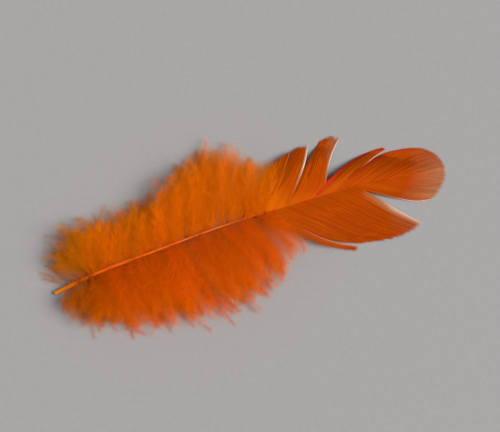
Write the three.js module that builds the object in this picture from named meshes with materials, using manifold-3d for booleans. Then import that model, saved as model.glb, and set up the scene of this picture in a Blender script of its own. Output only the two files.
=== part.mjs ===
// A small goose feather, dyed orange, lying on a table with its hollow side down. Millimetres, +Z up.
// The bare quill points to -X and the rounded end of the vane to +X. One feather grew as one piece, so
// its shaft, split vane and downy locks are joined into one solid.
import * as THREE from "three";
import { mergeVertices } from "three/addons/utils/BufferGeometryUtils.js";
import Module from "manifold-3d";

const wasm = await Module();
wasm.setup();

// Driving dimensions, with x counted from the quill's tip and y from the straight line to the vane's tip
const LENGTH = 104;
const QUILL_RADIUS = 0.6;
const SHAFT_TIP_RADIUS = 0.25;
const SHAFT_SIDES = 8;
const SHAFT_STEPS = 26;
const LOBE_STEPS = 6;
const VANE_THICKNESS = 0.5;
const VANE_DROOP = 0.012; // fall of the vane per square millimetre of distance from the shaft
const RESTING_HEIGHT = 0.45 * VANE_THICKNESS; // just under half, so that the table flattens the underside
const LOCK_HALF_WIDTH = 3.1;
const LOCK_HALF_THICKNESS = 0.75;
const LOCK_ROOT_SHARE = 0.4; // thickness of a lock at the shaft, as a share of its full thickness
const LOCK_FULL_AT = 0.32; // where a lock is full, as a share of its length
const LOCKS_IN_ROW = 11;
const LOCK_SIDES = 6;
const LOCK_STEPS = 5;
const LOCK_LEAN = 0.33; // how far a lock leans towards the vane, as a share of its reach
const QUILL_LOCK_LEAN = -0.8; // the locks beside the bare quill lean back over it
const SMALLEST_DETAIL = 0.03; // edges shorter than this are merged away

// The shaft's line seen from above and its height over the table
const SHAFT_PLAN = [[0, 0], [14, 1.2], [28, 1.5], [45, 2.05], [60, 2.35], [78, 2.6], [LENGTH, 0.2]];
const SHAFT_HEIGHT = [[0, 0.75], [14, 3.2], [42, 5.9], [60, 4.4], [78, 2], [94, 0.5], [LENGTH, 0.25]];

// How far the down reaches on each side, along the feather
const DOWN_REACH_LEFT = [
  [1.5, 8.5], [8, 14], [20, 14.6], [32, 15.8], [38.5, 20.8], [45, 24.4], [52, 24.2], [57, 20.5], [61, 14.5],
];
const DOWN_REACH_RIGHT = [[2, 6], [9, 12.5], [20, 16.5], [34, 19], [45, 19.5], [53, 17.5], [62, 11]];

// Rows of locks on each side: height of the tips, swell above the shaft, share of the reach, stagger,
// and loft, how many times further a lock's fluff stands over its middle line than under it
const LOCK_ROWS = [
  { tip: 0.3, swell: -1.4, reach: 1, stagger: 0, loft: 1 },
  { tip: 2.4, swell: 0.9, reach: 0.97, stagger: 0.66, loft: 1.5 },
  { tip: 5, swell: 3, reach: 0.88, stagger: 0.33, loft: 3.3 },
];

// How much one lock differs from the next: least and most
const LOCK_VARIETY = {
  place: [-0.15, 0.15],
  reach: [0.86, 1.02],
  width: [0.85, 1.1],
  tipHeight: [0.7, 1.2],
  rootBend: [-1.6, 0.2],
  tipBend: [-1.8, 1.8],
  fall: [0.35, 0.6],
};

// The vane's lobes. Each lies between two of its barbs, near and far as seen from the quill, and ends in
// the line of the barbs' tips. The barbs are listed from the shaft outwards, without their tips.
const LOBES = [
  {
    side: 1, // the wide band beside the down
    near: [[50, 3.6], [55.5, 9]],
    far: [[61.2, 3.6], [64.9, 6.6], [69.9, 12]],
    tips: [[60, 13.2], [65.5, 16.1], [70, 17.5], [73.6, 17]],
  },
  {
    side: 1, // the blunt finger past the first split
    near: [[60.5, 3.6], [64.4, 6.2], [68.2, 10], [72, 13.8]],
    far: [[69.2, 3.5], [72.9, 5.6], [75, 9], [77.8, 13]],
    tips: [[76.3, 17.4], [78.9, 17.7], [81.2, 16.5]],
  },
  {
    side: 1, // the narrow finger against the rounded end
    near: [[68.4, 3.5], [72.8, 5.9], [80.2, 9.2], [87, 10.6]],
    far: [[75, 3.4], [82.7, 6.7], [88, 8.8]],
    tips: [[90.4, 10.4], [91.1, 10.1], [91.3, 9.6]],
  },
  {
    side: 1, // the rounded end, left of the shaft
    near: [[73, 3.4], [83, 6.9], [90, 8.9]],
    far: [[98, 0.7], [101.5, 0.1]],
    tips: [[97, 8.2], [100.8, 6.9], [103.2, 4.6], [104.2, 2.2], [LENGTH, -0.3]],
  },
  {
    side: -1, // the rounded end, right of the shaft
    near: [[79.5, 3], [84.5, -0.3], [89.2, -3.2], [94, -5.8]],
    far: [[98, 1.7], [101.5, 1.2]],
    tips: [[97.5, -6.6], [100.4, -5.3], [102.6, -3.2], [103.8, -1.2], [LENGTH, 0.6]],
  },
  {
    side: -1, // the broad lobe right of the shaft
    near: [[56, 3.6], [62.6, -2.4], [69.2, -8]],
    far: [[80, 3], [83, 0.2], [88.2, -5.8]],
    tips: [[77, -11.7], [85, -13.2], [90.5, -12.8], [93.2, -11.6]],
  },
  {
    side: -1, // a thin strand that has come loose from it
    near: [[53, 3.6], [60.8, -2.8], [67.6, -8.9]],
    far: [[57, 3.6], [62.2, -2.1], [68.9, -8.2]],
    tips: [[74.8, -12.9], [75.4, -12.7], [75.6, -12.2]],
  },
];

const { lerp, smoothstep, seededRandom } = THREE.MathUtils;

// A smooth line through points in the plane, read at a place from 0 to 1
function lineThrough(points) {
  const places = points.map(([x, y]) => new THREE.Vector3(x, y, 0));
  return new THREE.CatmullRomCurve3(places, false, "centripetal");
}

// A smooth value along x, such as the shaft's height, from its [x, value] points
function valueAlong(points) {
  const line = lineThrough(points);
  const samples = line.getPoints(120);
  return (x) => {
    const next = samples.findIndex((place) => place.x >= x);
    if (next <= 0) return next === 0 ? samples[0].y : samples.at(-1).y;
    const from = samples[next - 1];
    const to = samples[next];
    return lerp(from.y, to.y, (x - from.x) / (to.x - from.x));
  };
}

const shaftSide = valueAlong(SHAFT_PLAN);
const shaftHeight = valueAlong(SHAFT_HEIGHT);

function shaftPoint(x) {
  return new THREE.Vector3(x, shaftSide(x), shaftHeight(x));
}

// Moves every vertex of a geometry and returns it as a closed solid
function solidFrom(geometry, place) {
  const position = geometry.getAttribute("position");
  const vertex = new THREE.Vector3();
  for (let i = 0; i < position.count; i += 1) {
    vertex.fromBufferAttribute(position, i);
    const moved = place(vertex);
    position.setXYZ(i, moved.x, moved.y, moved.z);
  }
  geometry.deleteAttribute("normal");
  geometry.deleteAttribute("uv");
  const merged = mergeVertices(geometry, 1e-4);
  return new wasm.Manifold(new wasm.Mesh({
    numProp: 3,
    vertProperties: merged.getAttribute("position").array,
    triVerts: new Uint32Array(merged.index.array),
  }));
}

// A rod along a curve, whose half width and its thickness under and over the curve change from 0, its
// root, to 1, its tip
function taperedRod(curve, sides, steps, halfWidth, under, over) {
  const up = new THREE.Vector3(0, 0, 1);
  return solidFrom(new THREE.CylinderGeometry(1, 1, 1, sides, steps), (vertex) => {
    const along = THREE.MathUtils.clamp(vertex.y + 0.5, 0, 1);
    const forward = curve.getTangent(along);
    const across = forward.clone().cross(up).normalize();
    const above = across.clone().cross(forward);
    const thickness = vertex.z > 0 ? over(along) : under(along);
    return curve.getPoint(along)
      .addScaledVector(across, vertex.x * halfWidth(along))
      .addScaledVector(above, vertex.z * thickness);
  });
}

// The shaft, from the bare quill's cut tip to just short of the vane's end
function shaft() {
  const places = Array.from({ length: SHAFT_STEPS / 2 + 1 }, (_, i) => (2 * i) / SHAFT_STEPS);
  const points = places.map((share) => shaftPoint(share * (LENGTH - 0.8)));
  const line = new THREE.CatmullRomCurve3(points, false, "centripetal");
  const radius = (along) => lerp(QUILL_RADIUS, SHAFT_TIP_RADIUS, smoothstep(along, 0.2, 0.95));
  return taperedRod(line, SHAFT_SIDES, SHAFT_STEPS, radius, radius, radius);
}

// One lobe of the vane: a thin sheet spread between its near and far barbs
function lobe({ side, near, far, tips }) {
  const nearBarb = lineThrough([...near, tips[0]]);
  const farBarb = lineThrough([...far, tips.at(-1)]);
  const tipLine = lineThrough(tips);
  const [nearRoot] = near;
  const [farRoot] = far;
  const sheet = new THREE.BoxGeometry(1, 1, 1, LOBE_STEPS, LOBE_STEPS, 1);
  return solidFrom(sheet, (vertex) => {
    const across = 0.5 + side * vertex.x;
    const out = 0.5 + vertex.y;
    const rootX = lerp(nearRoot[0], farRoot[0], across);
    const place = nearBarb.getPoint(out).lerp(farBarb.getPoint(out), across);
    const rootShift = new THREE.Vector3(rootX, shaftSide(rootX), 0)
      .sub(nearBarb.getPoint(0).lerp(farBarb.getPoint(0), across));
    const tipShift = tipLine.getPoint(across)
      .sub(nearBarb.getPoint(1).lerp(farBarb.getPoint(1), across));
    place.addScaledVector(rootShift, 1 - out).addScaledVector(tipShift, out);
    const fromShaft = place.y - shaftSide(place.x);
    const height = shaftHeight(place.x) - VANE_DROOP * fromShaft * fromShaft;
    place.z = Math.max(height, RESTING_HEIGHT) + vertex.z * VANE_THICKNESS;
    return place;
  });
}

// A random value between two, the same on every run
function between([least, most]) {
  return lerp(least, most, seededRandom());
}

// One lock of down: a flat tapering tuft that swells up from the shaft and falls to its tip
function lock(side, tipX, reach, row) {
  const lean = lerp(QUILL_LOCK_LEAN, LOCK_LEAN, smoothstep(tipX, 0, 18));
  const root = shaftPoint(tipX - lean * reach);
  const crest = Math.max(root.z + row.swell, 1.2);
  const tipHeight = row.tip * between(LOCK_VARIETY.tipHeight);
  const along = (share, bend, height) => new THREE.Vector3(
    lerp(root.x, tipX, share) + bend,
    lerp(root.y, side * reach, share),
    height,
  );
  const line = new THREE.CubicBezierCurve3(
    root,
    along(0.35, between(LOCK_VARIETY.rootBend), crest),
    along(0.72, between(LOCK_VARIETY.tipBend), lerp(crest, tipHeight, between(LOCK_VARIETY.fall))),
    along(1, 0, tipHeight),
  );
  const widest = LOCK_HALF_WIDTH * between(LOCK_VARIETY.width);
  const halfWidth = (t) => widest * (0.4 + 2.2 * t * (1 - t)) * (1 - 0.7 * t ** 3);
  const fullness = (t) => smoothstep(t, 0, LOCK_FULL_AT);
  const under = (t) => LOCK_HALF_THICKNESS * (1 - 0.6 * t) * lerp(LOCK_ROOT_SHARE, 1, fullness(t));
  const over = (t) => under(t) * lerp(1, row.loft, fullness(t));
  return taperedRod(line, LOCK_SIDES, LOCK_STEPS, halfWidth, under, over);
}

// The rows of locks on one side of the shaft
function downySide(side, reachPoints) {
  const reachAt = valueAlong(reachPoints);
  const first = reachPoints[0][0];
  const last = reachPoints.at(-1)[0];
  const locks = [];
  for (const row of LOCK_ROWS) {
    for (let i = 0; i < LOCKS_IN_ROW; i += 1) {
      const place = (i + row.stagger + between(LOCK_VARIETY.place)) / LOCKS_IN_ROW;
      const tipX = lerp(first, last, place);
      const reach = reachAt(tipX) * row.reach * between(LOCK_VARIETY.reach);
      locks.push(lock(side, tipX, reach, row));
    }
  }
  return locks;
}

// Joins the pieces, cuts the underside flat on the table and fills the pockets shut in between them
function joined(pieces) {
  const whole = wasm.Manifold.union(pieces).trimByPlane([0, 0, 1], 0)
    .asOriginal().simplify(SMALLEST_DETAIL);
  const bodies = whole.decompose();
  bodies.sort((a, b) => b.volume() - a.volume());
  return bodies[0];
}

function meshFrom(solid, name, material) {
  const { vertProperties, triVerts } = solid.getMesh();
  const geometry = new THREE.BufferGeometry();
  geometry.setAttribute("position", new THREE.BufferAttribute(vertProperties, 3));
  geometry.setIndex(new THREE.BufferAttribute(triVerts, 1));
  geometry.computeVertexNormals();
  const mesh = new THREE.Mesh(geometry, material);
  mesh.name = name;
  return mesh;
}

seededRandom(7);
const solid = joined([
  shaft(),
  ...LOBES.map(lobe),
  ...downySide(1, DOWN_REACH_LEFT),
  ...downySide(-1, DOWN_REACH_RIGHT),
]);
const orange = new THREE.MeshStandardMaterial({ color: 0xc85a0a, roughness: 0.75, metalness: 0 });
const feather = meshFrom(solid, "feather", orange);

// The origin is the middle of the feather's outline, on the table
const bounds = new THREE.Box3().setFromObject(feather);
const centre = bounds.getCenter(new THREE.Vector3());
feather.position.set(-centre.x, -centre.y, 0);

const group = new THREE.Group();
group.add(feather);
export default group;
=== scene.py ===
import math

import bpy
import numpy as np
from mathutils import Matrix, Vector


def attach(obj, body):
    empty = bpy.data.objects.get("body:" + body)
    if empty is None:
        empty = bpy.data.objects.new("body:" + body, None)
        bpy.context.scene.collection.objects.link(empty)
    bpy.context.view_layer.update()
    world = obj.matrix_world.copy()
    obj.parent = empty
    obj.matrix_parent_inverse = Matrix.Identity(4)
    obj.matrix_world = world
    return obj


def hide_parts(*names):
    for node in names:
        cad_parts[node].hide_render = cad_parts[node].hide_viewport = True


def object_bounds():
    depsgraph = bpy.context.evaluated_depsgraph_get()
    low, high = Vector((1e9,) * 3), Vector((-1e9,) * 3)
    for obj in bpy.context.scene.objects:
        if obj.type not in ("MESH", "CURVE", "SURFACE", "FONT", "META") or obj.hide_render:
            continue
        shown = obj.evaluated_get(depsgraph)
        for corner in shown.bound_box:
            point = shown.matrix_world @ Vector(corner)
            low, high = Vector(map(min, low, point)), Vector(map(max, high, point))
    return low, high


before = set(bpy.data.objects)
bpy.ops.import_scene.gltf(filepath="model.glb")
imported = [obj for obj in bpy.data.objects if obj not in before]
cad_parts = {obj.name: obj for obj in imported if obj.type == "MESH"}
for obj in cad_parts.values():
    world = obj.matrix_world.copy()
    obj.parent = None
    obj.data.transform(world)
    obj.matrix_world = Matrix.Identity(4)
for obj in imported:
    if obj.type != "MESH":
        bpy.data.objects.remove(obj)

bl_info = {
    "name": "Dyed goose feather",
    "version": (1, 0, 0),
    "blender": (4, 5, 0),
    "location": "3D View > Sidebar > Feather",
    "description": "Builds one small dyed goose feather, barb by barb, lying on a pale floor",
    "category": "Add Mesh",
}

# The solid's box, as it stands before anything is built over it
CAD_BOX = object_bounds()
BODY = "root"
NODE = "feather"

# Sizes are written in millimetres, with x counted from the quill's tip and y from the straight line
# to the vane's tip, and are turned into the frame's metres when a mesh is made
MM = 0.001
MIDDLE = np.array((52.052, 2.625, 0.0))
UP = np.array((0.0, 0.0, 1.0))
CURVE_STEPS = 121
# The map that carries each strand's place in its material's colours and its tone, the limits of the
# tone, and how wide a strand is in it
BARB_MAP = "OFBake"
TONE_LIMITS = (0.01, 0.99)
TONE_WIDTH = 0.004

# The shaft: its length and its line are the solid's, and it is a little thinner than the solid's
LENGTH = 104.0
QUILL_RADIUS = 0.54
SHAFT_TIP_RADIUS = 0.1
SHAFT_PLAN = ((0, 0), (14, 1.2), (28, 1.5), (45, 2.05), (60, 2.35), (78, 2.6), (LENGTH, 0.2))
SHAFT_HEIGHT = ((0, 0.75), (14, 3.2), (42, 5.9), (60, 4.4), (78, 2), (94, 0.5), (LENGTH, 0.25))

# The shaft's form: from where and over how much of its length it thins, as shares, and how early
THINS_FROM = 0.05
THINS_OVER = 0.7
THINS_EARLY = 1.8
# The quill's open tip from within, as places along the feather and radii, and its drawn-in mouth
QUILL_HOLLOW = ((1.1, 0.22), (0.25, 0.31), (0.04, 0.37), (0.0, 0.43), (0.08, 0.49))
QUILL_MOUTH = 0.86
QUILL_MOUTH_ENDS = (0.3, 2.5)
# Where the shaft's outside starts and stops, and how thin its last tenth is drawn
SHAFT_RUN = (0.35, LENGTH - 0.3)
SHAFT_POINT = 0.45
SHAFT_POINT_ENDS = (0.9, 1.0)
# How far the thin end of the shaft sinks under its barbs, and from where to where along the feather
SHAFT_SINKS = 0.1
SHAFT_SINK_ENDS = (66, 82)
# Its section: the height as a share of the width, and the groove beneath, in radii
SHAFT_FLATNESS = 0.94
GROOVE_WIDTH = 0.12
GROOVE_DEPTH = 0.3
SHAFT_SIDES = 16
SHAFT_STEPS = 150
# How far to either side along the feather its direction is read
SHAFT_LOOK = 0.5

# The vane's lobes, as in the solid: two edge barbs from the shaft outwards, and the line of the
# tips. fray is how far its barbs part at their tips. dye is how it took at the root and the tip of
# the near edge barb and of the far one, as places in the vane's colours: 0 is red, 0.1 the yellowest,
# 0.28 to 0.5 the deepest, 0.8 pale, partly painted light shining through, and 1 nearly white, a pale
# barb with a painted highlight. red and the count after it are how many barbs along the near edge and
# the far one took it red, or are drawn pale with a painted highlight along the slits. downy is how
# large a share of the barbs, from the near edge on, still carry down.
LEFT_LOBES = (
    {
        "near": ((50, 3.6), (55.5, 9)),
        "far": ((61.2, 3.6), (64.9, 6.6), (69.9, 12)),
        "tips": ((60, 13.2), (65.5, 16.1), (70, 17.5), (73.6, 17)),
        "fray": 0.8, "dye": ((0.1, 0.1), (0.15, 0.62)), "red": (0, 0), "bare": (0, 2), "downy": 0.5,
    },
    {
        "near": ((60.5, 3.6), (64.4, 6.2), (68.2, 10), (72, 13.8)),
        "far": ((69.2, 3.5), (72.9, 5.6), (75, 9), (77.8, 13)),
        "tips": ((76.3, 17.4), (78.9, 17.7), (81.2, 16.5)),
        "fray": 0.5, "dye": ((0.2, 0.45), (0.2, 0.78)), "red": (0, 0), "bare": (0, 2), "downy": 0,
    },
    {
        "near": ((68.4, 3.5), (72.8, 5.9), (80.2, 9.2), (87, 10.6)),
        "far": ((75, 3.4), (82.7, 6.7), (88, 8.8)),
        "tips": ((90.4, 10.4), (91.1, 10.1), (91.3, 9.6)),
        "fray": 0.3, "dye": ((0.3, 0.35), (0.14, 0.2)), "red": (4, 0), "bare": (0, 1), "downy": 0,
    },
    {
        "near": ((73, 3.4), (83, 6.9), (90, 8.9)),
        "far": ((98, 0.7), (101.5, 0.1)),
        "tips": ((97, 8.2), (100.8, 6.9), (103.2, 4.6), (104.2, 2.2), (LENGTH, -0.3)),
        "fray": 0.3, "dye": ((0.3, 0.52), (0.52, 0.84)), "red": (3, 0), "bare": (0, 0), "downy": 0,
    },
)
RIGHT_LOBES = (
    {
        "near": ((79.5, 3), (84.5, -0.3), (89.2, -3.2), (94, -5.8)),
        "far": ((98, 1.7), (101.5, 1.2)),
        "tips": ((97.5, -6.6), (100.4, -5.3), (102.6, -3.2), (103.8, -1.2), (LENGTH, 0.6)),
        "fray": 0.45, "dye": ((0.22, 0.8), (0.6, 0.88)), "red": (0, 0), "bare": (1, 0), "downy": 0,
    },
    {
        "near": ((56, 3.6), (62.6, -2.4), (69.2, -8)),
        "far": ((80, 3), (83, 0.2), (88.2, -5.8)),
        "tips": ((77, -11.7), (85, -13.2), (90.5, -12.8), (93.2, -11.6)),
        "fray": 0.5, "dye": ((0.25, 0.45), (0.25, 0.7)), "red": (0, 0), "bare": (0, 7), "downy": 0.12,
    },
    {
        "near": ((53, 3.6), (60.8, -2.8), (67.6, -8.9)),
        "far": ((57, 3.6), (62.2, -2.1), (68.9, -8.2)),
        "tips": ((74.8, -12.9), (75.4, -12.7), (75.6, -12.2)),
        "fray": 0.6, "dye": ((0.5, 0.5), (0.5, 0.85)), "red": (2, 0), "bare": (0, 1), "downy": 1,
    },
)
# How fast the vane falls away from the shaft, and how high it lies where it meets the table
VANE_DROOP = 0.012
VANE_REST = 0.22

# How late across a lobe the dye turns from its near barb's to its far one's, and at how many places
# along a barb it is given
DYE_TURN = 1.6
DYE_PLACES = 4
RED_EDGE = 0.0
# How pale the pale barbs with their painted highlight are, from the innermost to the one at the edge,
# and the share of that which they have a third of the way out
PALE_HIGHLIGHT_EDGE = (0.72, 1.0)
PALE_HIGHLIGHT_BY_SHAFT = 0.4
# Brightness of the vane's barbs, from the darkest to the lightest
VANE_TONES = (0.25, 0.75)

# A vane barb's section, in half widths and half heights
BARB_PROFILE = np.array(
    ((1.0, -0.2), (0.22, 0.1), (0.0, 1.0), (-0.22, 0.1), (-1.0, -0.2), (0.0, -0.8))
)
BARB_HEIGHT = 0.02
BARB_HEIGHT_AT_TIP = 0.5
# Half of a barb's width, as a share of the distance to the next one, and its least
BARB_OVERLAP = 0.6
THINNEST_BARB = 0.04
# How narrow a barb gets at its tip, and over which share of its length
BARB_POINT = 0.35
BARB_POINT_ENDS = (0.94, 1.0)
# How unevenly the barbs lie in height and in turn
BARB_UNEVEN = 0.003
BARB_TURN = 0.03
FEWEST_BARBS = 7
BARB_STEPS = 26
SHEET_STEPS = 161
# Bunches of barbs at the tips: how often a new one starts, how firmly they are drawn together, how
# late along the barbs, and how much narrower that makes them
BUNCH_CHANCE = 0.2
BUNCH_PULL = (0.1, 0.5)
BUNCH_LATE = 4
BUNCH_THINS = 1.1
# How unevenly frayed barbs end, and the shortest that they may be
FRAY_LENGTH = 0.022
SHORTEST_FRAYED = 0.9
# The free barbules at the ends of the vane's barbs: least length, how much fray adds, the distance
# between them, where they stand along a barb, and how far they turn out of the vane
FRINGE_LENGTH = 0.25
FRINGE_BY_FRAY = 0.45
FRINGE_SPACING = 0.16
FRINGE_PLACES = (0.85, 1.0)
FRINGE_TURN = 0.3
# Down on the last barbs before it: longest and shortest hairs, how much shorter they get along a barb,
# the distance between them, where they stand along a barb, and their dye
DOWNY_LENGTHS = (2.4, 0.6)
DOWNY_SHORTENS = 0.6
DOWNY_SPACING = 0.08
DOWNY_PLACES = (0.12, 1.0)
DOWNY_DYE = (0.14, 0.1)

# The locks of down, as in the solid, so that every lock's barbs fill its own solid
DOWN_REACH = {
    1: (
        (1.5, 8.5), (8, 14), (20, 14.6), (32, 15.8), (38.5, 20.8),
        (45, 24.4), (52, 24.2), (57, 20.5), (61, 14.5),
    ),
    -1: ((2, 6), (9, 12.5), (20, 16.5), (34, 19), (45, 19.5), (53, 17.5), (62, 11)),
}
LOCKS_IN_ROW = 11
LOCK_HALF_WIDTH = 3.1
LOCK_HALF_THICKNESS = 0.75
LOCK_LEAN = 0.33
QUILL_LOCK_LEAN = -0.8
QUILL_LEAN_ENDS = (0, 18)
LOWEST_CREST = 1.2
LOCK_PLACES = (0.35, 0.72, 1.0)
LOCK_ROWS = {
    "under": {"tip": 0.3, "swell": -1.4, "reach": 1.0, "stagger": 0.0},
    "middle": {"tip": 2.4, "swell": 0.9, "reach": 0.97, "stagger": 0.66},
    "over": {"tip": 5.0, "swell": 3.0, "reach": 0.88, "stagger": 0.33},
}
LOCK_VARIETY = {
    "place": (-0.15, 0.15),
    "reach": (0.86, 1.02),
    "width": (0.85, 1.1),
    "tip_height": (0.7, 1.2),
    "root_bend": (-1.6, 0.2),
    "tip_bend": (-1.8, 1.8),
    "fall": (0.35, 0.6),
}
LOCK_SEED = 7

# How far single barbs stray from their lock, at its four control points, and the most that they may,
# as a multiple of that
STRAY = np.array(((0.5, 0.1, 0.1), (0.9, 0.5, 0.5), (1.5, 0.8, 0.8), (2.0, 0.8, 0.7)))
MOST_STRAY = 1.5
# How far the barbs of a lock reach, as shares of it: the shortest, and on each side the longest, which
# make the loose fringe. They get shorter towards the vane, from where to where along the feather.
SHORTEST_BARB = 0.78
LONGEST_BARB = {1: 1.22, -1: 1.06}
LONGEST_BARB_BY_VANE = 0.93
BY_VANE_ENDS = (46.0, 54.0)
# The space that a lock's barbs fill: its half width at the root, how it widens and how it closes in
# again, as shares of its widest, and its half thickness at the root and how it grows
LOCK_SPREAD = (0.7, 1.0, 0.6)
LOCK_DEPTH = (0.3, 1.1)
# How far they scatter over and under its middle, in half thicknesses, and the most that they may
LOCK_SCATTER = 0.6
MOST_SCATTER = 1.3
# Waves along a downy barb: the fewest and the most, and how far they swing at its end
BARB_WAVES = (0.7, 2.2)
WAVE_SWING = 0.4
# Radius of a downy barb at its root and its tip, its steps, and how low barbs and hairs may lie
DOWNY_BARB_RADIUS = (0.045, 0.008)
DOWNY_BARB_STEPS = 15
LOWEST_BARB = 0.1
LOWEST_HAIR = 0.03
# Shares of the down's colours that its hairs run through, from root to tip: the right side is painted
# redder, as painted shade on that side
DOWN_DYE_AND_SIDE_SHADE = {1: (0.3, 1.0), -1: (0.0, 0.64)}
# How far through them the barbs themselves get
DOWNY_BARB_DYE = 0.7
# How much locks, the barbs in a lock and the hairs on a barb differ in brightness, around the middle
MIDDLE_TONE = 0.5
LOCK_TONE = 0.07
DOWNY_BARB_TONE = 0.2
HAIR_TONE = 0.07
# The down is painted darker around the quill, as painted shade for the hollow beside it: how much, and
# from where to where along the feather it fades
QUILL_PAINTED_SHADE = 0.32
QUILL_PAINTED_SHADE_ENDS = (4.0, 20.0)
# Hairs over the bare quill are short, so that it shows: from where to where along the feather that
# fades, how far from the shaft they are at full length, and their least share of it
QUILL_BARE_ENDS = (9.0, 17.0)
HAIR_ROOM = 4.0
LEAST_HAIR_ROOM = 0.2
# Hairs are longest at the middle of a barb: their share at its ends, and how early and how full the
# swell between them is
HAIR_AT_ENDS = 0.45
HAIR_SWELL_EARLY = 0.8
HAIR_SWELL_FULL = 0.7

# Any hair or barbule: its half width and how it narrows, how it leans towards the barb's tip at the
# barb's root and end, how much that and its length differ, and how far its ribbon turns
HAIR_HALF_WIDTH = 0.011
HAIR_TAPER = (1.0, 0.75, 0.0)
HAIR_LEAN = (1.15, 0.8)
HAIR_LEAN_SPREAD = 0.3
HAIR_SIZES = (0.55, 1.2)
HAIR_TURN = 0.6
# Its curve, as shares of its length: how far its middle and its tip lie along its own direction, how
# far the tip is bent to the barb's, and how much it curls by chance
HAIR_MIDDLE = 0.52
HAIR_TIP = 0.84
HAIR_BEND = 0.24
HAIR_CURL = 0.16
HAIR_MIDDLE_CURL = 0.3
# The fewest on a barb, and how far to either side along it its direction is read, as a share of it
FEWEST_HAIRS = 3
HAIR_LOOK = 0.02

# The stage: half the floor's width in metres, how much its paper is mottled, the lens, the window's
# direction and the lights' colours
FLOOR_HALF = 1.5
PAPER_SHADES = (0.97, 1.02)
LENS = 72
WINDOW_AIM = (-0.61, 0.38, -0.7)
WINDOW_COLOUR = (1.0, 0.98, 0.95)
ROOM_COLOUR = (0.93, 0.95, 1.0, 1.0)


# Lines and values

def unit(vectors):
    """Vectors of length one."""
    return vectors / np.maximum(np.linalg.norm(vectors, axis=-1, keepdims=True), 1e-12)


def lerp(start, end, share):
    """The value a share of the way from start to end."""
    return start + (end - start) * share


def smoothstep(value, low, high):
    """0 under low, 1 over high, and a smooth rise between them."""
    share = np.clip((value - low) / (high - low), 0, 1)
    return share * share * (3 - 2 * share)


def spline(points, shares):
    """A smooth line through points, read at shares from 0 to 1."""
    points = np.asarray(points, float)
    beyond = 2 * points[[0, -1]] - points[[1, -2]]
    points = np.vstack((beyond[:1], points, beyond[1:]))
    gaps = np.linalg.norm(np.diff(points, axis=0), axis=1) ** 0.5
    place = np.clip(shares, 0, 1) * (len(points) - 3)
    index = np.minimum(place.astype(int), len(points) - 4)
    t = (place - index)[:, None]
    before, start, end, after = (points[index + k] for k in range(4))
    g0, g1, g2 = (gaps[index + k][:, None] for k in range(3))
    leave = ((start - before) / g0 - (end - before) / (g0 + g1) + (end - start) / g1) * g1
    arrive = ((end - start) / g1 - (after - start) / (g1 + g2) + (after - end) / g2) * g1
    bend = 3 * (end - start) - 2 * leave - arrive
    twist = 2 * (start - end) + leave + arrive
    return start + t * (leave + t * (bend + t * twist))


def value_along(points):
    """A smooth value along x from (x, value) points."""
    line = spline(points, np.linspace(0, 1, CURVE_STEPS))
    return lambda x: np.interp(x, line[:, 0], line[:, 1])


shaft_side = value_along(SHAFT_PLAN)
shaft_height = value_along(SHAFT_HEIGHT)


def on_shaft(x):
    """The middle of the shaft at each x."""
    return np.stack((x, shaft_side(x), shaft_height(x)), axis=-1)


def along_paths(paths, places):
    """Points on each path at its own row of places, from 0, the path's start, to 1, its end."""
    count, steps, _ = paths.shape
    spot = np.clip(places, 0, 1) * (steps - 1)
    low = np.minimum(spot.astype(int), steps - 2)
    rows = np.arange(count)[:, None]
    return lerp(paths[rows, low], paths[rows, low + 1], (spot - low)[..., None])


# Meshes

def swept(paths, half_widths, half_heights, profile, facing, tangents=None):
    """Strands of one profile along paths (strand, step, xyz), each brought to a point at its end.

    Returns vertices, triangles and, for each vertex, its strand and its share of the way along.
    """
    strands, steps, _ = paths.shape
    if tangents is None:
        tangents = unit(np.gradient(paths, axis=1))
    across = unit(np.cross(tangents, facing))
    above = np.cross(across, tangents)
    sides = len(profile)
    rings = steps - 1
    ring = paths[:, :rings, None, :] + sum(
        axis[:, :rings, None, :] * size[:, :rings, None, None] * profile[None, None, :, part, None]
        for axis, size, part in ((across, half_widths, 0), (above, half_heights, 1))
    )
    vertices = np.concatenate((ring.reshape(strands, rings * sides, 3), paths[:, -1:]), axis=1)
    walls = sides if sides > 2 else 1
    side = np.arange(walls)
    beside = (side + 1) % sides
    here = np.arange(rings - 1)[:, None] * sides
    there = here + sides
    lower = np.stack((here + side, there + beside, here + beside), axis=-1)
    upper = np.stack((here + side, there + side, there + beside), axis=-1)
    last = (rings - 1) * sides
    point = np.stack((last + side, np.full(walls, rings * sides), last + beside), axis=-1)
    one = np.concatenate((lower.reshape(-1, 3), upper.reshape(-1, 3), point))
    per_strand = rings * sides + 1
    triangles = (one[None] + np.arange(strands)[:, None, None] * per_strand).reshape(-1, 3)
    strand = np.repeat(np.arange(strands), per_strand)
    share = np.tile(np.append(np.repeat(np.arange(rings) / rings, sides), 1.0), strands)
    return vertices.reshape(-1, 3), triangles, strand, share


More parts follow.
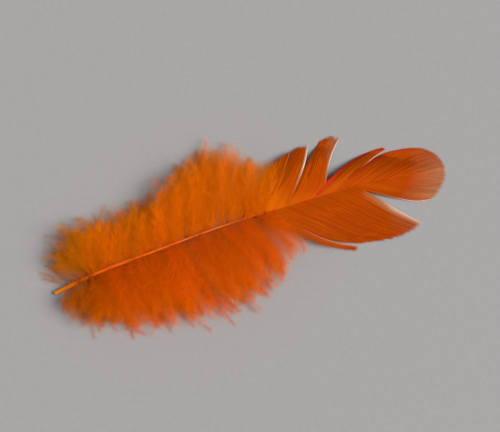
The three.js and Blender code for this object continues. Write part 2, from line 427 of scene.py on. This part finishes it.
class Bundle:
    """Strands gathered for one piece, with a tone for each and its share along for the material."""

    def __init__(self):
        self.parts = []
        self.count = 0

    def add(self, strands, tones, shades=(0.0, 1.0)):
        """Adds what swept made.

        shades are places in the material's colours at even steps from root to tip, one row for all
        strands or a row for each.
        """
        vertices, triangles, strand, share = strands
        tone = np.clip(tones, *TONE_LIMITS)[strand]
        width = TONE_WIDTH * np.where(np.arange(len(vertices)) % 2, 1, -1)
        shades = np.atleast_2d(shades)
        shades = np.broadcast_to(shades, (len(tones), shades.shape[1]))
        spot = share * (shades.shape[1] - 1)
        low = np.minimum(spot.astype(int), shades.shape[1] - 2)
        shade = lerp(shades[strand, low], shades[strand, low + 1], spot - low)
        self.parts.append((vertices, triangles + self.count, np.stack((shade, tone + width), axis=-1)))
        self.count += len(vertices)

    def piece(self, name, slot, material):
        """Makes the object, puts it on the feather's body and hides the solid that it stands in for.
        """
        vertices, triangles, places = (np.concatenate(part) for part in zip(*self.parts))
        mesh = bpy.data.meshes.new(name)
        mesh.vertices.add(len(vertices))
        mesh.vertices.foreach_set("co", ((vertices - MIDDLE) * MM).astype(np.float32).ravel())
        mesh.loops.add(triangles.size)
        mesh.loops.foreach_set("vertex_index", triangles.astype(np.int32).ravel())
        mesh.polygons.add(len(triangles))
        mesh.polygons.foreach_set("loop_start", np.arange(0, triangles.size, 3, dtype=np.int32))
        mesh.polygons.foreach_set("use_smooth", np.ones(len(triangles), dtype=bool))
        layer = mesh.uv_layers.new(name=BARB_MAP)
        layer.uv.foreach_set("vector", places[triangles.ravel()].astype(np.float32).ravel())
        mesh.update(calc_edges=True)
        mesh.materials.append(material)
        made = bpy.data.objects.new(name, mesh)
        bpy.context.scene.collection.objects.link(made)
        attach(made, BODY)
        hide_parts(NODE)
        return made


def circle(sides):
    """A round profile."""
    angle = np.arange(sides) * 2 * math.pi / sides
    return np.stack((np.cos(angle), np.sin(angle)), axis=-1)


RIBBON = np.array(((1.0, 0.0), (-1.0, 0.0)))
THREAD = circle(3)


# Materials

def node(nodes, kind, **values):
    """A node with its settings; a value for an input is given by the input's name."""
    made = nodes.new(kind)
    for name, value in values.items():
        if name in made.inputs:
            made.inputs[name].default_value = value
        else:
            setattr(made, name, value)
    return made


def ramp(tree, factor, stops):
    """A colour ramp from (place, colour) stops."""
    made = tree.nodes.new("ShaderNodeValToRGB")
    elements = made.color_ramp.elements
    while len(elements) < len(stops):
        elements.new(0.5)
    for element, (place, colour) in zip(elements, stops):
        element.position = place
        element.color = (*colour[:3], 1.0)
    tree.links.new(factor, made.inputs["Fac"])
    return made.outputs["Color"]


def new_material(name):
    """An empty node material and its output."""
    made = bpy.data.materials.new(name)
    made.use_nodes = True
    made.node_tree.nodes.clear()
    return made, made.node_tree, made.node_tree.nodes.new("ShaderNodeOutputMaterial")


def barb_places(tree):
    """The share along each strand and the tone of each strand."""
    places = node(tree.nodes, "ShaderNodeUVMap", uv_map=BARB_MAP)
    parts = tree.nodes.new("ShaderNodeSeparateXYZ")
    tree.links.new(places.outputs["UV"], parts.inputs["Vector"])
    return parts.outputs["X"], parts.outputs["Y"]


def varied(tree, colour, tone, hue_swing, value_low, value_high):
    """The colour with its hue and brightness moved by the strand's tone."""
    hue = tree.nodes.new("ShaderNodeMapRange")
    hue.inputs["To Min"].default_value = 0.5 - hue_swing
    hue.inputs["To Max"].default_value = 0.5 + hue_swing
    value = tree.nodes.new("ShaderNodeMapRange")
    value.inputs["To Min"].default_value = value_low
    value.inputs["To Max"].default_value = value_high
    shift = tree.nodes.new("ShaderNodeHueSaturation")
    for source in (hue, value):
        tree.links.new(tone, source.inputs["Value"])
    tree.links.new(hue.outputs["Result"], shift.inputs["Hue"])
    tree.links.new(value.outputs["Result"], shift.inputs["Value"])
    tree.links.new(colour, shift.inputs["Color"])
    return shift.outputs["Color"]


def thin_surface(tree, output, colour, roughness, through):
    """A soft surface with little sheen that lets a share of the light through."""
    front = node(tree.nodes, "ShaderNodeBsdfPrincipled", **{"Specular IOR Level": 0.03})
    back = tree.nodes.new("ShaderNodeBsdfTranslucent")
    mix = node(tree.nodes, "ShaderNodeMixShader", Fac=through)
    front.inputs["Roughness"].default_value = roughness
    tree.links.new(colour, front.inputs["Base Color"])
    tree.links.new(colour, back.inputs["Color"])
    tree.links.new(front.outputs["BSDF"], mix.inputs[1])
    tree.links.new(back.outputs["BSDF"], mix.inputs[2])
    tree.links.new(mix.outputs["Shader"], output.inputs["Surface"])


def down_material(colours):
    """Dyed down: deep orange at the roots of its hairs, paler and yellower towards their tips."""
    made, tree, output = new_material("dyed_down")
    share, tone = barb_places(tree)
    colour = ramp(tree, share, (
        (0.0, colours.down_root),
        (0.35, colours.down_middle),
        (1.0, colours.down_tip),
    ))
    colour = varied(tree, colour, tone, hue_swing=-0.008, value_low=0.65, value_high=1.33)
    thin_surface(tree, output, colour, roughness=0.7, through=0.4)
    return made


def vane_material(colours):
    """Dyed vane: yellowest in the band by the down, deep orange beside the shaft, pale at its ends."""
    made, tree, output = new_material("dyed_vane")
    dye, tone = barb_places(tree)
    colour = ramp(tree, dye, (
        (RED_EDGE, colours.vane_red),
        (0.1, colours.vane_band),
        (0.28, colours.vane),
        (0.5, colours.vane),
        # The end stop is partly the thin ends' own colour and partly painted light shining through
        # them
        (0.8, colours.vane_end),
        # The rim stop is a pale barb colour with a painted highlight along the slits
        (1.0, colours.vane_rim_highlight),
    ))
    colour = varied(tree, colour, tone, hue_swing=0.008, value_low=0.92, value_high=1.06)
    thin_surface(tree, output, colour, roughness=0.5, through=0.35)
    return made


def shaft_material(colours):
    """Horn: yellow at the bare quill, light orange along the shaft, and like the vane at its end."""
    made, tree, output = new_material("dyed_shaft")
    share, tone = barb_places(tree)
    colour = ramp(tree, share, (
        (0.0, colours.quill),
        (0.06, colours.quill),
        (0.1, colours.shaft),
        (0.37, colours.shaft),
        (0.44, colours.vane_band),
        (0.6, colours.vane),
        (1.0, colours.vane),
    ))
    place = tree.nodes.new("ShaderNodeTexCoord")
    stretch = node(tree.nodes, "ShaderNodeMapping")
    stretch.inputs["Scale"].default_value = (0.12, 1.0, 1.0)
    grain = node(tree.nodes, "ShaderNodeTexNoise", Scale=4200.0, Detail=3.0)
    bump = node(tree.nodes, "ShaderNodeBump", Strength=0.25, Distance=0.00004)
    horn = node(tree.nodes, "ShaderNodeBsdfPrincipled", **{
        "Roughness": 0.5,
        "Specular IOR Level": 0.08,
        "Subsurface Weight": 0.25,
        "Subsurface Scale": 0.0006,
    })
    tree.links.new(place.outputs["Object"], stretch.inputs["Vector"])
    tree.links.new(stretch.outputs["Vector"], grain.inputs["Vector"])
    tree.links.new(grain.outputs["Fac"], bump.inputs["Height"])
    tree.links.new(bump.outputs["Normal"], horn.inputs["Normal"])
    colour = varied(tree, colour, tone, hue_swing=0.0, value_low=0.95, value_high=1.05)
    tree.links.new(colour, horn.inputs["Base Color"])
    tree.links.new(horn.outputs["BSDF"], output.inputs["Surface"])
    return made


def floor_material(look):
    """Plain pale paper."""
    made, tree, output = new_material("pale_paper")
    place = tree.nodes.new("ShaderNodeTexCoord")
    fibre = node(tree.nodes, "ShaderNodeTexNoise", Scale=900.0, Detail=4.0)
    low, high = (tuple(channel * shade for channel in look.floor_colour) for shade in PAPER_SHADES)
    paper = node(tree.nodes, "ShaderNodeBsdfPrincipled", Roughness=0.85)
    tree.links.new(place.outputs["Object"], fibre.inputs["Vector"])
    colour = ramp(tree, fibre.outputs["Fac"], ((0.3, low), (0.7, high)))
    tree.links.new(colour, paper.inputs["Base Color"])
    tree.links.new(paper.outputs["BSDF"], output.inputs["Surface"])
    return made


# The shaft

def shaft_radius(share):
    """The shaft's radius from the quill's tip, 0, to its end, 1."""
    thinned = 1 - (1 - np.clip((share - THINS_FROM) / THINS_OVER, 0, 1)) ** THINS_EARLY
    return lerp(QUILL_RADIUS, SHAFT_TIP_RADIUS, thinned)


def shaft_strand():
    """The shaft, round at the quill and grooved beneath, starting inside the quill's open tip."""
    hollow = np.array(QUILL_HOLLOW)
    run = np.linspace(*SHAFT_RUN, SHAFT_STEPS)
    share = run / LENGTH
    radius = shaft_radius(share) * lerp(QUILL_MOUTH, 1.0, smoothstep(run, *QUILL_MOUTH_ENDS))
    radius *= lerp(1.0, SHAFT_POINT, smoothstep(share, *SHAFT_POINT_ENDS))
    x = np.append(hollow[:, 0], run)
    size = np.append(hollow[:, 1], radius)
    path = on_shaft(x)
    path[:, 2] -= SHAFT_SINKS * smoothstep(x, *SHAFT_SINK_ENDS)
    ahead = unit(on_shaft(x + SHAFT_LOOK) - on_shaft(x - SHAFT_LOOK * (x > SHAFT_LOOK)))
    profile = circle(SHAFT_SIDES)
    beneath = np.exp(-(((profile[:, 1] + 1) / GROOVE_WIDTH) ** 2))
    profile[:, 1] += GROOVE_DEPTH * beneath
    return swept(path[None], size[None], SHAFT_FLATNESS * size[None], profile, UP, ahead[None])


# The vane

def lobe_places(lobe, across, out):
    """Places seen from above on a lobe: across from its near barb to its far one, out to the tips."""
    near, far, tips = (lobe[line] for line in ("near", "far", "tips"))
    near_barb = spline(near + tips[:1], out)
    far_barb = spline(far + tips[-1:], out)
    root_x = lerp(near[0][0], far[0][0], across)
    roots = np.stack((root_x, shaft_side(root_x)), axis=-1)
    sheet = lerp(near_barb[None], far_barb[None], across[:, None, None])
    root_shift = (roots - sheet[:, 0])[:, None]
    tip_shift = (spline(tips, across) - sheet[:, -1])[:, None]
    return sheet + root_shift * (1 - out)[None, :, None] + tip_shift * out[None, :, None]


def vane_height(places):
    """How high the vane lies over the table."""
    x, y = places[..., 0], places[..., 1]
    return np.maximum(shaft_height(x) - VANE_DROOP * (y - shaft_side(x)) ** 2, VANE_REST)


def lobe_barbs(lobe, spacing, chance):
    """The barbs of one lobe, gathered into small bunches at their tips.

    Returns their paths, their half widths and how the dye took along them, with the painted highlights
    of pale barbs.
    """
    fray = lobe["fray"]
    count = max(FEWEST_BARBS, round((lobe["far"][0][0] - lobe["near"][0][0]) / spacing))
    out = np.linspace(0, 1, BARB_STEPS)
    across = (np.arange(count) + 0.5) / count
    bunch = np.cumsum(chance.random(count) < BUNCH_CHANCE)
    middle = np.array([across[bunch == group].mean() for group in bunch])
    pull = fray * chance.uniform(*BUNCH_PULL, bunch.max() + 1)[bunch, None] * out[None] ** BUNCH_LATE
    grid = np.linspace(0, 1, SHEET_STEPS)
    sheet = lobe_places(lobe, grid, out)

    def read(places):
        spot = np.clip(places, 0, 1) * (len(grid) - 1)
        low = np.minimum(spot.astype(int), len(grid) - 2)
        steps = np.arange(len(out))[None]
        return lerp(sheet[low, steps], sheet[low + 1, steps], (spot - low)[..., None])

    gathered = across[:, None] + (middle - across)[:, None] * pull
    flat = read(gathered)
    gap = np.linalg.norm(read(gathered + 0.5 / count) - read(gathered - 0.5 / count), axis=-1)
    half = np.maximum(BARB_OVERLAP * gap * (1 - BUNCH_THINS * pull), THINNEST_BARB)
    half = half * lerp(1.0, BARB_POINT, smoothstep(out, *BARB_POINT_ENDS))[None]
    height = vane_height(flat) + chance.normal(0, BARB_UNEVEN, count)[:, None]
    paths = np.concatenate((flat, height[..., None]), axis=-1)
    frayed = fray * np.abs(chance.normal(0, FRAY_LENGTH, count))
    ends = np.clip(1 - frayed, SHORTEST_FRAYED, 1.0)
    paths = along_paths(paths, ends[:, None] * out[None])
    return paths, half, lobe_dye_and_highlight(lobe, count)


def lobe_dye_and_highlight(lobe, count):
    """How the dye took at even places along each barb of a lobe, with pale barbs painted as highlights
    along the slits.
    """
    near, far = (np.linspace(*dye, DYE_PLACES) for dye in lobe["dye"])
    dye = lerp(near, far, ((np.arange(count) + 0.5) / count)[:, None] ** DYE_TURN)
    for rows, red, bare in zip((dye, dye[::-1]), lobe["red"], lobe["bare"]):
        rows[:red] = RED_EDGE
        if bare:
            # Pale barbs with their painted highlight keep the dye where the lobe still touches its
            # neighbour
            highlit = np.linspace(PALE_HIGHLIGHT_EDGE[1], PALE_HIGHLIGHT_EDGE[0], bare)
            rows[:bare, 1] = lerp(rows[:bare, 1], highlit, PALE_HIGHLIGHT_BY_SHAFT)
            rows[:bare, 2:] = highlit[:, None]
    return dye


def hairs(paths, spacing, length, chance, places=(0.03, 1.0), spread=0.8):
    """Barbules on both sides of each path: curved ribbons that lean towards its tip.

    length gives their length from their shares along the paths and their roots. spread is how far
    they turn up and down. Returns them, and the barb that each one grows on.
    """
    reach = np.linalg.norm(np.diff(paths, axis=1), axis=-1).sum(axis=1).mean()
    stations = max(FEWEST_HAIRS, round(reach * (places[1] - places[0]) / spacing))
    uneven = chance.uniform(-0.5, 0.5, (len(paths), stations)) / stations
    share = np.clip(np.linspace(*places, stations)[None] + uneven, 0, 1)
    root = along_paths(paths, share)
    ahead = unit(along_paths(paths, share + HAIR_LOOK) - along_paths(paths, share - HAIR_LOOK))
    across = unit(np.cross(ahead, UP))
    above = np.cross(across, ahead)
    made = []
    for side in (-1, 1):
        turn = chance.normal(0, spread, share.shape)[..., None]
        outward = side * across * np.cos(turn) + above * np.sin(turn)
        lean = lerp(*HAIR_LEAN, share) + chance.normal(0, HAIR_LEAN_SPREAD, share.shape)
        aim = ahead * np.cos(lean)[..., None] + outward * np.sin(lean)[..., None]
        size = (length(share, root) * chance.uniform(*HAIR_SIZES, share.shape))[..., None]
        curl = chance.normal(0, HAIR_CURL, root.shape)
        middle = root + size * (HAIR_MIDDLE * aim + HAIR_MIDDLE_CURL * curl)
        tip = root + size * (HAIR_TIP * aim + HAIR_BEND * ahead + curl)
        for point in (middle, tip):
            point[..., 2] = np.maximum(point[..., 2], LOWEST_HAIR)
        made.append(np.stack((root, middle, tip), axis=2).reshape(-1, 3, 3))
    strands = np.concatenate(made)
    facing = unit(UP + chance.normal(0, HAIR_TURN, (len(strands), 1, 3)))
    widths = np.tile(np.array(HAIR_TAPER) * HAIR_HALF_WIDTH, (len(strands), 1))
    barb = np.tile(np.repeat(np.arange(len(paths)), stations), 2)
    return swept(strands, widths, widths, RIBBON, facing), barb


def vane_bundle(lobes, spacing, seed):
    """All barbs of the lobes on one side of the shaft, with free barbules along their ends."""
    chance = np.random.default_rng(seed)
    bundle = Bundle()
    for lobe in lobes:
        paths, half, dye = lobe_barbs(lobe, spacing, chance)
        facing = unit(UP + chance.normal(0, BARB_TURN, (len(paths), 1, 3)))
        lowers = lerp(1.0, BARB_HEIGHT_AT_TIP, np.linspace(0, 1, half.shape[1]))
        heights = np.full(half.shape, BARB_HEIGHT) * lowers
        tones = chance.uniform(*VANE_TONES, len(paths))
        bundle.add(swept(paths, half, heights, BARB_PROFILE, facing), tones, dye)
        reach = FRINGE_LENGTH + FRINGE_BY_FRAY * lobe["fray"]
        fringe, barb = hairs(
            paths, FRINGE_SPACING, lambda share, root: reach, chance, FRINGE_PLACES, FRINGE_TURN,
        )
        bundle.add(fringe, tones[barb], dye[barb, -2:])
        downy = round(lobe["downy"] * len(paths))
        if downy:
            # The last barbs before the down are downy too, most of all the very last
            most = np.linspace(*DOWNY_LENGTHS, downy)[:, None]
            fluff, barb = hairs(
                paths[:downy], DOWNY_SPACING,
                lambda share, root: most * (1 - DOWNY_SHORTENS * share), chance, DOWNY_PLACES,
            )
            bundle.add(fluff, tones[barb], DOWNY_DYE)
    return bundle


# The down

class LockDice:
    """The run of shares that the solid's locks were made from, so that both have the same locks."""

    WHOLE = 0xFFFFFFFF
    STEP = 0x6D2B79F5

    def __init__(self, seed):
        self.state = seed
        self.share()

    def share(self):
        """The next share from 0 to 1."""
        self.state = (self.state + self.STEP) & self.WHOLE
        t = self.state
        t = ((t ^ t >> 15) * (t | 1)) & self.WHOLE
        t = (t ^ (t + (t ^ t >> 7) * (t | 61))) & self.WHOLE
        return (t ^ t >> 14) / (self.WHOLE + 1)

    def between(self, name):
        """The next value of one kind of variety."""
        return lerp(*LOCK_VARIETY[name], self.share())


def all_locks():
    """Every lock's row, side, four control points and widest half width, in the solid's order."""
    dice = LockDice(LOCK_SEED)
    locks = []
    for side in (1, -1):
        points = DOWN_REACH[side]
        reach_at = value_along(points)
        for row_name, row in LOCK_ROWS.items():
            for number in range(LOCKS_IN_ROW):
                place = (number + row["stagger"] + dice.between("place")) / LOCKS_IN_ROW
                tip_x = lerp(points[0][0], points[-1][0], place)
                reach = float(reach_at(tip_x)) * row["reach"] * dice.between("reach")
                turned = float(smoothstep(tip_x, *QUILL_LEAN_ENDS))
                lean = lerp(QUILL_LOCK_LEAN, LOCK_LEAN, turned)
                root = on_shaft(np.float64(tip_x - lean * reach))
                crest = max(root[2] + row["swell"], LOWEST_CREST)
                tip_height = row["tip"] * dice.between("tip_height")
                root_bend = dice.between("root_bend")
                tip_bend = dice.between("tip_bend")
                fallen = lerp(crest, tip_height, dice.between("fall"))
                bends = (root_bend, tip_bend, 0.0)
                heights = (crest, fallen, tip_height)
                controls = np.array([root] + [
                    (lerp(root[0], tip_x, share) + bend, lerp(root[1], side * reach, share), height)
                    for share, bend, height in zip(LOCK_PLACES, bends, heights)
                ])
                widest = LOCK_HALF_WIDTH * dice.between("width")
                locks.append((row_name, side, controls, widest))
    return locks


def lock_barbs(controls, widest, longest, count, chance):
    """Downy barbs of one lock, fanning from the shaft and straying a little, each on its own curve."""
    ends = lerp(SHORTEST_BARB, longest, chance.random(count))
    t = np.linspace(0, 1, DOWNY_BARB_STEPS)[None] * ends[:, None]
    weights = np.stack(((1 - t) ** 3, 3 * t * (1 - t) ** 2, 3 * t * t * (1 - t), t ** 3), axis=-1)
    stray = np.clip(chance.normal(0, 1, (count, 4, 3)), -MOST_STRAY, MOST_STRAY)
    own = controls + stray * STRAY
    paths = weights @ own
    ahead = unit(np.gradient(paths, axis=1))
    across = unit(np.cross(ahead, UP))
    above = np.cross(across, ahead)
    narrow, widens, closes = LOCK_SPREAD
    half_width = widest * (narrow + widens * t - closes * t * t)
    thin, thickens = LOCK_DEPTH
    half_thickness = LOCK_HALF_THICKNESS * (thin + thickens * t)
    beside = (chance.permutation(count) + chance.random(count)) / count * 2 - 1
    over = np.clip(chance.normal(0, LOCK_SCATTER, count), -MOST_SCATTER, MOST_SCATTER)
    phase = chance.uniform(0, 2 * math.pi, (2, count, 1))
    pace = chance.uniform(*BARB_WAVES, (2, count, 1)) * 2 * math.pi
    wave = WAVE_SWING * t * np.sin(pace * t + phase)
    offset = across * (beside[:, None] * half_width + wave[0])[..., None]
    offset += above * (over[:, None] * half_thickness + wave[1])[..., None]
    paths = paths + offset
    paths[..., 2] = np.maximum(paths[..., 2], LOWEST_BARB)
    return paths


def down_bundle(locks, side, look, chance):
    """The barbs of several locks with the barbules that make them fluffy."""
    bundle = Bundle()
    longest = look.barbule_length / MM
    # The right side's shares are painted redder, as painted shade on that side
    root_place, tip_place = DOWN_DYE_AND_SIDE_SHADE[side]

    def hair_length(share, root):
        swell = np.sin(math.pi * share ** HAIR_SWELL_EARLY) ** HAIR_SWELL_FULL
        room = np.abs(root[..., 1] - shaft_side(root[..., 0])) / HAIR_ROOM
        near_quill = 1 - smoothstep(root[..., 0], *QUILL_BARE_ENDS)
        kept = lerp(1.0, np.clip(room, LEAST_HAIR_ROOM, 1.0), near_quill)
        return longest * lerp(HAIR_AT_ENDS, 1.0, swell) * kept

    for controls, widest in locks:
        by_vane = smoothstep(controls[-1, 0], *BY_VANE_ENDS)
        farthest = lerp(LONGEST_BARB[side], LONGEST_BARB_BY_VANE, by_vane)
        paths = lock_barbs(controls, widest, farthest, look.barbs_in_lock, chance)
        steps = np.linspace(0, 1, paths.shape[1])
        width = np.tile(lerp(*DOWNY_BARB_RADIUS, steps), (len(paths), 1))
        # Locks near the quill get a darker tone: painted shade for the hollow beside the quill
        shade = QUILL_PAINTED_SHADE * (1 - smoothstep(controls[-1, 0], *QUILL_PAINTED_SHADE_ENDS))
        lock_tone = MIDDLE_TONE - shade + chance.uniform(-LOCK_TONE, LOCK_TONE)
        tones = lock_tone + chance.uniform(-DOWNY_BARB_TONE, DOWNY_BARB_TONE, len(paths))
        bundle.add(swept(paths, width, width, THREAD, UP), tones, (0.0, DOWNY_BARB_DYE * tip_place))
        fluff, barb = hairs(paths, look.barbule_spacing / MM, hair_length, chance)
        tones = tones[barb] + chance.uniform(-HAIR_TONE, HAIR_TONE, len(barb))
        bundle.add(fluff, tones, (root_place, tip_place))
    return bundle


# Settings

class FeatherBarbs(bpy.types.PropertyGroup):
    """How closely the barbs stand."""

    barb_spacing: bpy.props.FloatProperty(
        name="Barb spacing",
        description="Distance between the vane's barbs along the shaft",
        default=0.42 * MM, min=0.1 * MM, subtype="DISTANCE", unit="LENGTH", precision=5,
    )
    barbs_in_lock: bpy.props.IntProperty(
        name="Barbs in a lock",
        description="Downy barbs in each lock of down",
        default=12, min=3, max=40,
    )
    barbule_spacing: bpy.props.FloatProperty(
        name="Barbule spacing",
        description="Distance between the fine hairs along a downy barb",
        default=0.1 * MM, min=0.05 * MM, subtype="DISTANCE", unit="LENGTH", precision=5,
    )
    barbule_length: bpy.props.FloatProperty(
        name="Barbule length",
        description="Length of the longest fine hairs",
        default=2.8 * MM, min=0.1 * MM, subtype="DISTANCE", unit="LENGTH", precision=5,
    )
    seed: bpy.props.IntProperty(
        name="Seed",
        description="Changes how single barbs fall without changing the feather's form",
        default=11,
    )


def colour_setting(name, description, default):
    """A colour that a user may change."""
    return bpy.props.FloatVectorProperty(
        name=name, description=description, default=default,
        size=3, min=0.0, max=1.0, subtype="COLOR",
    )


class FeatherColours(bpy.types.PropertyGroup):
    """The dye as it took on each part."""

    quill: colour_setting("Quill", "The bare quill", (0.84, 0.245, 0.004))
    shaft: colour_setting("Shaft", "The shaft above the quill", (0.8, 0.135, 0.003))
    vane_band: colour_setting("Vane band", "The vane where it meets the down", (0.78, 0.165, 0.0))
    vane: colour_setting("Vane", "The vane beside the shaft", (0.59, 0.08, 0.0))
    # The vane end is partly the thin ends' own paler colour and partly painted light shining through
    # them
    vane_end: colour_setting("Vane end", "The thin ends of the vane's barbs", (0.64, 0.25, 0.1))
    # The rim is a pale barb colour with a painted highlight along the edges of the slits
    vane_rim_highlight: colour_setting("Vane rim", "Bare barbs along the slits", (0.93, 0.66, 0.52))
    vane_red: colour_setting("Vane red", "Edge barbs that took the dye red", (0.66, 0.05, 0.008))
    down_root: colour_setting("Down root", "Down beside the shaft", (0.84, 0.118, 0.0))
    down_middle: colour_setting("Down middle", "The middle of the hairs", (0.89, 0.222, 0.0))
    down_tip: colour_setting("Down tip", "The tips of the hairs", (0.89, 0.32, 0.002))


class FeatherStage(bpy.types.PropertyGroup):
    """The floor, light and camera."""

    floor_colour: colour_setting("Floor", "The pale paper under the feather", (0.3, 0.292, 0.29))
    camera_turn: bpy.props.FloatProperty(
        name="Camera turn", description="How far the feather is turned in the picture",
        default=math.radians(-18.3), subtype="ANGLE", unit="ROTATION",
    )
    camera_tilt: bpy.props.FloatProperty(
        name="Camera tilt", description="The camera's height above the horizon",
        default=math.radians(75), subtype="ANGLE", unit="ROTATION",
    )
    camera_distance: bpy.props.FloatProperty(
        name="Camera distance", description="From the middle of the feather",
        default=0.25, subtype="DISTANCE", unit="LENGTH",
    )
    key_strength: bpy.props.FloatProperty(
        name="Window light", description="Strength of the soft light from the lower right",
        default=4.0, min=0.0,
    )
    key_spread: bpy.props.FloatProperty(
        name="Window size", description="How wide the window is as seen from the feather",
        default=math.radians(36), subtype="ANGLE", unit="ROTATION",
    )
    sky: bpy.props.FloatProperty(
        name="Room light", description="Strength of the even light of the room",
        default=0.42, min=0.0,
    )


# Operators

class BuildShaft(bpy.types.Operator):
    """Builds the bare quill and the shaft"""

    bl_idname = "feather.shaft"
    bl_label = "Shaft"

    def execute(self, context):
        bundle = Bundle()
        bundle.add(shaft_strand(), np.array((0.5,)))
        bundle.piece("shaft", "shaft", shaft_material(context.scene.feather_colours))
        return {"FINISHED"}


class BuildVane(bpy.types.Operator):
    """Builds the barbs of the vane on both sides of the shaft"""

    bl_idname = "feather.vane"
    bl_label = "Vane"

    def execute(self, context):
        barbs = context.scene.feather_barbs
        material = vane_material(context.scene.feather_colours)
        for name, lobes in (("vane_left", LEFT_LOBES), ("vane_right", RIGHT_LOBES)):
            bundle = vane_bundle(lobes, barbs.barb_spacing / MM, barbs.seed)
            bundle.piece(name, "vane", material)
        return {"FINISHED"}


class BuildDown(bpy.types.Operator):
    """Builds the locks of down on both sides of the shaft"""

    bl_idname = "feather.down"
    bl_label = "Down"

    def execute(self, context):
        barbs = context.scene.feather_barbs
        material = down_material(context.scene.feather_colours)
        chance = np.random.default_rng(barbs.seed)
        locks = all_locks()
        for side, side_name in ((1, "left"), (-1, "right")):
            for row in LOCK_ROWS:
                own = [lock[2:] for lock in locks if lock[:2] == (row, side)]
                bundle = down_bundle(own, side, barbs, chance)
                bundle.piece(f"down_{side_name}_{row}", "down", material)
        return {"FINISHED"}


def window_light(look):
    """Even light from a wide window to the lower right, far enough away not to fall off."""
    lamp = bpy.data.lights.new("window", "SUN")
    lamp.angle = look.key_spread
    lamp.energy = look.key_strength
    lamp.color = WINDOW_COLOUR
    made = bpy.data.objects.new("window", lamp)
    made.rotation_euler = Vector(WINDOW_AIM).to_track_quat("-Z", "Y").to_euler()
    bpy.context.scene.collection.objects.link(made)


class BuildStage(bpy.types.Operator):
    """Lays the pale floor, hangs the lights and sets the camera"""

    bl_idname = "feather.stage"
    bl_label = "Stage"

    def execute(self, context):
        scene = context.scene
        look = scene.feather_stage
        mesh = bpy.data.meshes.new("floor")
        corners = ((-1, -1), (1, -1), (1, 1), (-1, 1))
        mesh.from_pydata([(x * FLOOR_HALF, y * FLOOR_HALF, 0) for x, y in corners], [], [(0, 1, 2, 3)])
        mesh.materials.append(floor_material(look))
        floor = bpy.data.objects.new("floor", mesh)
        scene.collection.objects.link(floor)

        low, high = (Vector(corner) for corner in CAD_BOX)
        target = (low + high) / 2
        turn, tilt = look.camera_turn, look.camera_tilt
        level = math.cos(tilt)
        away = Vector((math.sin(turn) * level, -math.cos(turn) * level, math.sin(tilt)))
        lens = bpy.data.cameras.new("camera")
        lens.lens = LENS
        lens.clip_start = 0.01
        camera = bpy.data.objects.new("camera", lens)
        camera.location = target + away * look.camera_distance
        camera.rotation_euler = (-away).to_track_quat("-Z", "Y").to_euler()
        scene.collection.objects.link(camera)
        scene.camera = camera

        window_light(look)
        world = bpy.data.worlds.new("room")
        world.use_nodes = True
        background = world.node_tree.nodes["Background"]
        background.inputs["Color"].default_value = ROOM_COLOUR
        background.inputs["Strength"].default_value = look.sky
        scene.world = world
        scene.view_settings.view_transform = "Standard"
        return {"FINISHED"}


class FeatherPanel(bpy.types.Panel):
    """Lists the feather's builders and settings"""

    bl_idname = "VIEW3D_PT_feather"
    bl_label = "Goose feather"
    bl_space_type = "VIEW_3D"
    bl_region_type = "UI"
    bl_category = "Feather"

    def draw(self, context):
        for operator in OPERATORS:
            self.layout.operator(operator.bl_idname)
        for name in SETTINGS:
            settings = getattr(context.scene, name)
            for field in settings.__annotations__:
                self.layout.prop(settings, field)


SETTINGS = {
    "feather_barbs": FeatherBarbs,
    "feather_colours": FeatherColours,
    "feather_stage": FeatherStage,
}
OPERATORS = (BuildStage, BuildShaft, BuildVane, BuildDown)


def register():
    """Adds the settings, the operators and the panel."""
    for made in (*SETTINGS.values(), *OPERATORS, FeatherPanel):
        bpy.utils.register_class(made)
    for name, group in SETTINGS.items():
        setattr(bpy.types.Scene, name, bpy.props.PointerProperty(type=group))


def unregister():
    """Takes them away again."""
    for name in SETTINGS:
        delattr(bpy.types.Scene, name)
    for made in reversed((*SETTINGS.values(), *OPERATORS, FeatherPanel)):
        bpy.utils.unregister_class(made)


def main():
    """Registers the add-on and builds the whole scene."""
    register()
    for operator in OPERATORS:
        group, name = operator.bl_idname.split(".")
        getattr(getattr(bpy.ops, group), name)()


if __name__ == "__main__":
    main()
